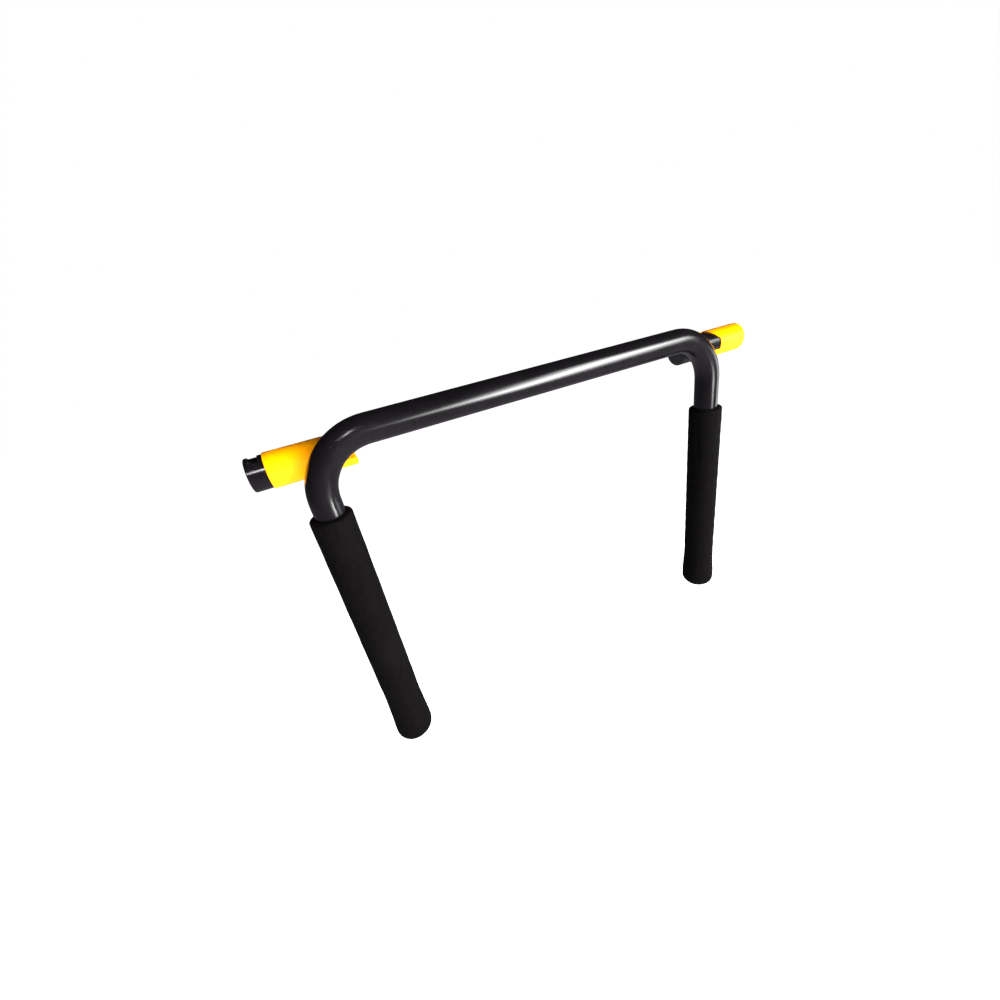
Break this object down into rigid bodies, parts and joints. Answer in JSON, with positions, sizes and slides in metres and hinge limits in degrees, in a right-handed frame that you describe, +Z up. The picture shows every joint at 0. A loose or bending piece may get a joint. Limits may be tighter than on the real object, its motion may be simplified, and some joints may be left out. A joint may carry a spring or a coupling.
{
  "type": "pull up bar",
  "caption": "U-shaped pull-up and dip bar: a bent steel tube with two foam hand grips and a tube socket with a sliding lock sleeve behind each bend.",
  "frame": {"origin": "middle of the bar on the common axis of the two sockets that carry it", "axes": "+X along the sockets towards the right-hand one, +Z up, +Y to the rear (the bent bar is in front of the sockets, on -Y, and its legs point down)"},
  "size_m": [0.649, 0.093, 0.415],
  "materials": {
    "black_enamel": "gloss black enamel",
    "foam": "matt closed-cell foam",
    "yellow_enamel": "satin yellow enamel",
    "black_plastic": "matt moulded plastic",
    "zinc_steel": "zinc-plated steel"
  },
  "bodies": {
    "bar": {"main_tube": "black_enamel", "left_foam_grip": "foam", "right_foam_grip": "foam", "left_leg_plug": "black_plastic", "right_leg_plug": "black_plastic", "left_socket_tube": "black_enamel", "right_socket_tube": "black_enamel", "left_lug": "black_enamel", "right_lug": "black_enamel", "left_weld_beads": "black_enamel", "right_weld_beads": "black_enamel", "left_socket_plug": "black_plastic", "right_socket_plug": "black_plastic"},
    "left_lock_sleeve": {"left_sleeve": "yellow_enamel", "left_boss": "yellow_enamel"},
    "right_lock_sleeve": {"right_sleeve": "yellow_enamel", "right_boss": "yellow_enamel"},
    "left_lock_screw": {"left_knob": "black_plastic", "left_screw": "zinc_steel", "left_screw_tip": "black_plastic"},
    "right_lock_screw": {"right_knob": "black_plastic", "right_screw": "zinc_steel", "right_screw_tip": "black_plastic"}
  },
  "joints": [
    {"name": "left_sleeve_slide", "type": "slide", "parent": "bar", "child": "left_lock_sleeve", "axis": [-1, 0, 0], "range_m": [0, 0.052]},
    {"name": "right_sleeve_slide", "type": "slide", "parent": "bar", "child": "right_lock_sleeve", "axis": [1, 0, 0], "range_m": [-0.052, 0]},
    {"name": "left_screw_turn", "type": "hinge", "parent": "left_lock_sleeve", "child": "left_lock_screw", "pos_m": [-0.248, 0.025, 0], "axis": [0, -1, 0], "range_deg": [0, 360]},
    {"name": "right_screw_turn", "type": "hinge", "parent": "right_lock_sleeve", "child": "right_lock_screw", "pos_m": [0.3, 0.025, 0], "axis": [0, -1, 0], "range_deg": [0, 360]}
  ]
}
